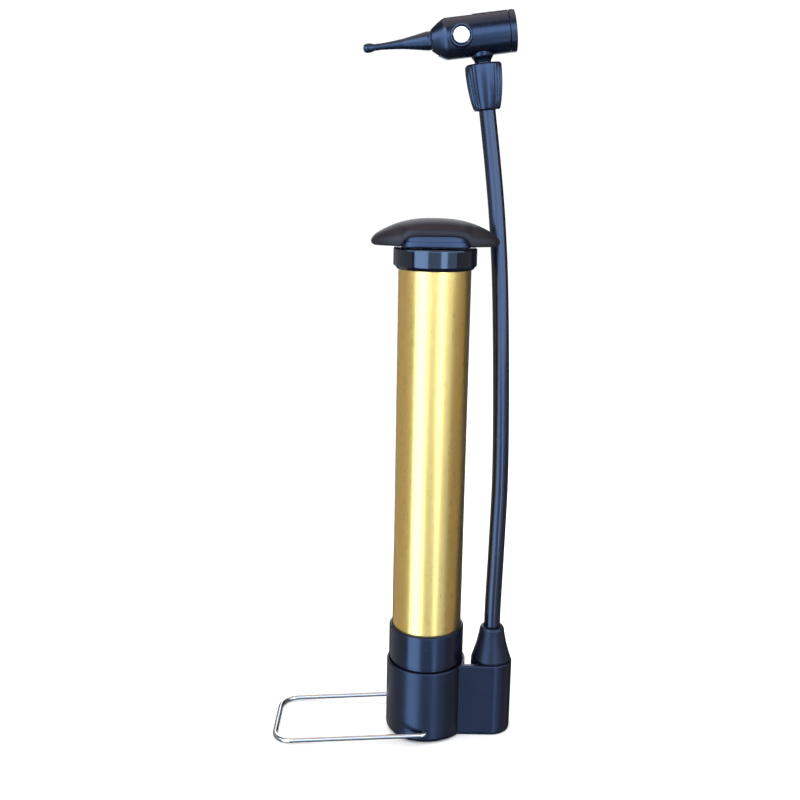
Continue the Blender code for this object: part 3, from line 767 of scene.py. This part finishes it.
def stirrup_path():
    path = [(0, -13.0 - 1.2 * k, 0) for k in range(5)]
    bend = 2.2
    for i in range(9):
        a = math.pi / 2 * i / 8
        path.append((-bend * (1 - math.cos(a)), -STIRRUP_HALF + bend - bend * math.sin(a), 0))
    x = -bend - 3
    while x > -STIRRUP_REACH + STIRRUP_CORNER + 2:
        path.append((x, -STIRRUP_HALF, 0))
        x -= 4
    for i in range(15):
        a = math.pi / 2 * i / 14
        path.append((
            -STIRRUP_REACH + STIRRUP_CORNER - STIRRUP_CORNER * math.sin(a),
            -STIRRUP_HALF + STIRRUP_CORNER - STIRRUP_CORNER * math.cos(a),
            0,
        ))
    path += [(-STIRRUP_REACH, -STIRRUP_HALF + STIRRUP_CORNER + k * 4.2, 0) for k in range(1, 4)]
    half = [Vector(p) for p in path if p[1] < -0.01]
    both = half + [Vector((p.x, -p.y, p.z)) for p in reversed(half)]
    turn = Matrix.Rotation(-droop, 3, "Y")
    return [turn @ p + Vector((0, 0, STIRRUP_Z)) for p in both]


stirrup = tube("stirrup_wire_fine", stirrup_path(), WIRE_R, 28, rounded=0.3)
finish_piece(stirrup, "stirrup", "stirrup_wire", chrome, weighted=False)

# ------------------------------------------------------------------ valve head
head = lathe(
    "chuck_body_fine",
    [
        (0, -3.9),
        (7.6, -3.9),
        (7.6, 9.5),
        (8.7, 9.5),
        (8.7, 13.6, 0.15),
        (HEAD_R, 13.6, 0.35),
        (HEAD_R, -16.4, 1.2),
        (9.6, -17.8, 1.2),
        (8.6, -19.6, 1.5),
        (6.3, -23.3, 0.8),
        (5.6, -24.0, 0.4),
        (0, -24.0),
    ],
    160,
    False,
    HEAD @ ALONG,
)
combine(
    head,
    [
        (lathe("cutter", [(0, 10.5), (5.1, 10.5, 0.2), (5.5, 10.1, 0.3), (5.9, 9.3, 0.3), (6.0, 8.6), (6.0, -8.6), (5.9, -9.3, 0.3), (5.5, -10.1, 0.3), (5.1, -10.5, 0.2), (0, -10.5)], 96, False, HEAD @ move(PIN_X, 0, 0) @ ACROSS), "UNION"),
        (lathe("cutter", [(0, -8.0), (5.9, -8.0), (5.5, -9.9, 0.8), (4.3, -11.6, 1.0), (3.9, -12.8, 1.0), (3.9, -22.0), (0, -22.0)], 96, False, HEAD), "UNION"),
        (box((-27, -4.1, -7.5), (-3.2, 4.1, 13), HEAD), "DIFFERENCE"),
        (lathe("cutter", [(0, 20), (4.75, 20), (4.75, 10.6), (4.3, 10.1, 0.2), (4.3, -10.1, 0.2), (4.75, -10.6), (4.75, -20), (0, -20)], 96, False, HEAD @ move(PIN_X, 0, 0) @ ACROSS), "DIFFERENCE"),
        (drum(1.5, 20, HEAD @ move(0, 0, -16.5), 32), "DIFFERENCE"),
        (drum(2.7, 12, HEAD @ move(0, 0, -21.2), 32), "DIFFERENCE"),
    ],
)
finish_piece(head, "pump_body", "chuck_body", head_plastic)

mouth = lathe(
    "mouth_cap_fine",
    [
        (9.0, 16.9, 0.3),
        (9.75, 16.7, 0.3),
        (HEAD_R, 16.0, 0.3),
        (HEAD_R, 13.9, 0.25),
        (8.4, 13.9),
        (8.4, 9.8, 0.2),
        (7.7, 9.8),
        (7.7, 13.6),
        (4.4, 13.6),
        (4.4, 16.2, 0.2),
        (5.1, 16.9, 0.2),
    ],
    160,
    True,
    HEAD @ ALONG,
)
finish_piece(mouth, "pump_body", "mouth_cap", head_plastic)

grommet = lathe(
    "chuck_grommet_fine",
    [(4.0, 13.3, 0.5), (4.0, 6.4, 0.5), (7.3, 6.4, 0.4), (7.3, 13.3, 0.4)],
    96,
    True,
    HEAD @ ALONG,
)
finish_piece(grommet, "pump_body", "chuck_grommet", seal_rubber)

pin = lathe(
    "pivot_pin_fine",
    [(0, 10.9), (2.6, 10.9), (PIN_R - 0.35, 10.75, 0.3), (PIN_R, 10.3, 0.3), (PIN_R, 0), (PIN_R, -10.3, 0.3), (PIN_R - 0.35, -10.75, 0.3), (2.6, -10.9), (0, -10.9)],
    96,
    False,
    HEAD @ move(PIN_X, 0, 0) @ ACROSS,
)
finish_piece(pin, "pump_body", "pivot_pin", pin_steel)


def flute(angle, r, z):
    """Ribs on both flanks of the sleeve, fading to smooth panels at its front and back."""
    if r < 5.4 or not -34.6 < z < -14.2:
        return r
    side = max(0.0, (abs(math.cos(angle)) - 0.42) / 0.58)
    fade = min(1.0, (z + 34.6) / 3.0, (-14.2 - z) / 1.6)
    return r - 0.55 * min(1.0, side * 3.0) * fade * (0.5 - 0.5 * math.cos(angle * 28))


ferrule = lathe(
    "hose_ferrule_fine",
    [
        (8.25, -13.4, 0.3),
        (8.9, -14.2, 0.4),
        (8.9, -17.5),
        (8.78, -20.0),
        (8.6, -23.0),
        (8.3, -25.6),
        (7.9, -28.5),
        (7.5, -30.8),
        (7.0, -33.0),
        (6.6, -34.4, 0.4),
        (6.0, -35.2, 0.3),
        (4.5, -35.2, 0.2),
        (4.5, -13.4, 0.3),
    ],
    560,
    True,
    HEAD,
    flute,
)
finish_piece(ferrule, "pump_body", "hose_ferrule", head_plastic)

lever = lathe(
    "cam_lever_fine",
    [
        (0, 0),
        (4.4, 0),
        (4.4, -14.8),
        (4.5, -15.8, 0.5),
        (3.6, -20.8, 6.0),
        (2.45, -27.5, 6.0),
        (1.9, -33.0, 4.0),
        (1.55, -38.5, 3.0),
        (1.6, -41.5, 1.0),
        (2.2, -43.4, 0.8),
        (2.2, -45.4, 0.8),
        (1.6, -46.6, 0.7),
        (0, -47.0),
    ],
    96,
    False,
    HEAD @ move(PIN_X, 0, 0) @ ALONG,
)
parts = []
for side in (-1, 1):
    parts.append((box((-15.2, min(side * 3.8, side * 9), -9), (9, max(side * 3.8, side * 9), 9), HEAD @ move(PIN_X, 0, 0)), "DIFFERENCE"))
parts.append((drum(CAM_R, 7.6, HEAD @ move(PIN_X - CAM_OFFSET, 0, CAM_OFFSET) @ ACROSS, 96, 0.3), "UNION"))
parts.append((drum(PIN_R + 0.3, 30, HEAD @ move(PIN_X, 0, 0) @ ACROSS, 96), "DIFFERENCE"))
combine(lever, parts)
finish_piece(lever, "lever", "cam_lever", head_plastic)

# ------------------------------------------------------------------ CAD nodes that stay, with better materials
for names, mat in (
    (("rod_bush", "piston_carrier", "chuck_pusher"), nylon),
    (("cap_seal", "barrel_seal", "barb_oring", "pusher_oring"), seal_rubber),
    (("return_bumper", "cup_seal"), boot_rubber),
    (("valve_seat", "hose_barb", "handle_insert", "chuck_nipple", "depressor_pin"), brass),
    (("check_ball", "check_spring", "piston_washer", "piston_nut"), steel),
):
    for name in names:
        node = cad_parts[name]
        node.data.materials.clear()
        node.data.materials.append(mat)


# ------------------------------------------------------------------ floor, studio and light
def emitter(name, centre, size, turn, colour, strength):
    """A soft card of light. It shows only in reflections, and nothing is lit or shaded by it."""
    bm = bmesh.new()
    bmesh.ops.create_grid(bm, x_segments=1, y_segments=1, size=0.5)
    obj = new_object(name, bm, recalc=False)
    obj.scale = (size[0], size[1], 1)
    obj.rotation_euler = turn
    obj.location = centre
    mat = bpy.data.materials.new(name)
    mat.use_nodes = True
    tree = mat.node_tree
    tree.nodes.clear()
    out = tree.nodes.new("ShaderNodeOutputMaterial")
    light = tree.nodes.new("ShaderNodeEmission")
    light.inputs["Color"].default_value = (*colour, 1)
    light.inputs["Strength"].default_value = strength
    tree.links.new(light.outputs[0], out.inputs["Surface"])
    mat.cycles.emission_sampling = "NONE"
    obj.data.materials.append(mat)
    obj.visible_camera = obj.visible_diffuse = obj.visible_transmission = obj.visible_shadow = False
    return obj


def card(name, start, end, distance, colour, strength, low=-1.3, high=1.2):
    """An upright card that spans the angles from start to end. 0 is in front, and positive is to the right."""
    middle, half = math.radians((start + end) / 2), math.radians((end - start) / 2)
    place = Vector((math.sin(middle) * distance, -math.cos(middle) * distance, (low + high) / 2))
    return emitter(name, place, (2 * distance * math.tan(half), high - low), (math.pi / 2, 0, middle), colour, strength)


def area(name, place, target, size, power, colour=(1, 1, 1)):
    data = bpy.data.lights.new(name, "AREA")
    data.shape = "RECTANGLE"
    data.size, data.size_y = size
    data.energy = power
    data.color = colour
    obj = bpy.data.objects.new(name, data)
    bpy.context.scene.collection.objects.link(obj)
    obj.location = place
    obj.rotation_euler = (Vector(target) - Vector(place)).to_track_quat("-Z", "Y").to_euler()
    return obj


BLUE = (0.60, 0.76, 1.0)
card("card_left", -58, -20, 1.10, BLUE, 4.8)
card("card_strip", 15, 32, 1.08, BLUE, 5.2, low=-0.15)
card("card_strip_low", 21, 30, 1.08, BLUE, 3.8, high=-0.16)
card("card_front", -22, 60, 1.30, (0.70, 0.82, 1.0), 1.1, low=-0.30)
card("card_front_low", -22, 60, 1.30, (0.66, 0.79, 1.0), 0.85, high=-0.31)
card("card_far_left", -150, -66, 1.35, (1.0, 0.92, 0.86), 0.42)
card("card_right", 64, 114, 1.35, (1.0, 0.84, 0.70), 0.29)
card("card_back", 166, 200, 1.35, (0.9, 0.95, 1.0), 2.2, low=-0.45)
for start in (-84, -28, 28):
    card("card_high_%d" % start, start, start + 56, 1.03, BLUE, 4.2, low=0.31, high=0.95)
emitter("card_ceiling", (0, 0.1, 1.6), (1.7, 1.7), (math.pi, 0, 0), (1.0, 0.76, 0.64), 1.35)

area("key", (-0.9, -1.0, 1.1), (0, 0, 0.12), (0.9, 0.9), 14, (1.0, 0.99, 0.97))
area("fill", (1.1, -0.9, 0.7), (0, 0, 0.15), (0.8, 0.8), 4, (0.96, 0.98, 1.0))
area("top", (0.1, 0.2, 1.5), (0, 0, 0.15), (1.2, 1.2), 8, (1.0, 1.0, 1.0)).visible_glossy = False

world = bpy.data.worlds.new("studio")
bpy.context.scene.world = world
world.use_nodes = True
world.cycles.sampling_method = "NONE"
tree = world.node_tree
tree.nodes.clear()
out = tree.nodes.new("ShaderNodeOutputWorld")
path = tree.nodes.new("ShaderNodeLightPath")
white = tree.nodes.new("ShaderNodeBackground")
white.inputs["Color"].default_value = (1, 1, 1, 1)
white.inputs["Strength"].default_value = 1.06
soft = tree.nodes.new("ShaderNodeBackground")
soft.inputs["Color"].default_value = (0.80, 0.88, 1.0, 1)
soft.inputs["Strength"].default_value = 0.05
blend = tree.nodes.new("ShaderNodeMixShader")
tree.links.new(path.outputs["Is Glossy Ray"], blend.inputs["Fac"])
tree.links.new(white.outputs[0], blend.inputs[1])
tree.links.new(soft.outputs[0], blend.inputs[2])
tree.links.new(blend.outputs[0], out.inputs["Surface"])

bm = bmesh.new()
bmesh.ops.create_grid(bm, x_segments=1, y_segments=1, size=30.0)
floor = new_object("floor", bm, recalc=False)
floor.location = (0, 0, -0.0002)
pale = Nodes("pale_floor")
pale.put(Roughness=0.9, Specular_IOR_Level=0.0)
pale.colour(pale.mix(pale.ramp(pale.noise(3, 3), 0.3, 0.7), (0.95, 0.95, 0.95), (0.97, 0.97, 0.97)))
floor.data.materials.append(pale.mat)
floor.visible_glossy = False

bpy.context.scene.view_settings.view_transform = "Standard"
bpy.context.scene.view_settings.look = "None"
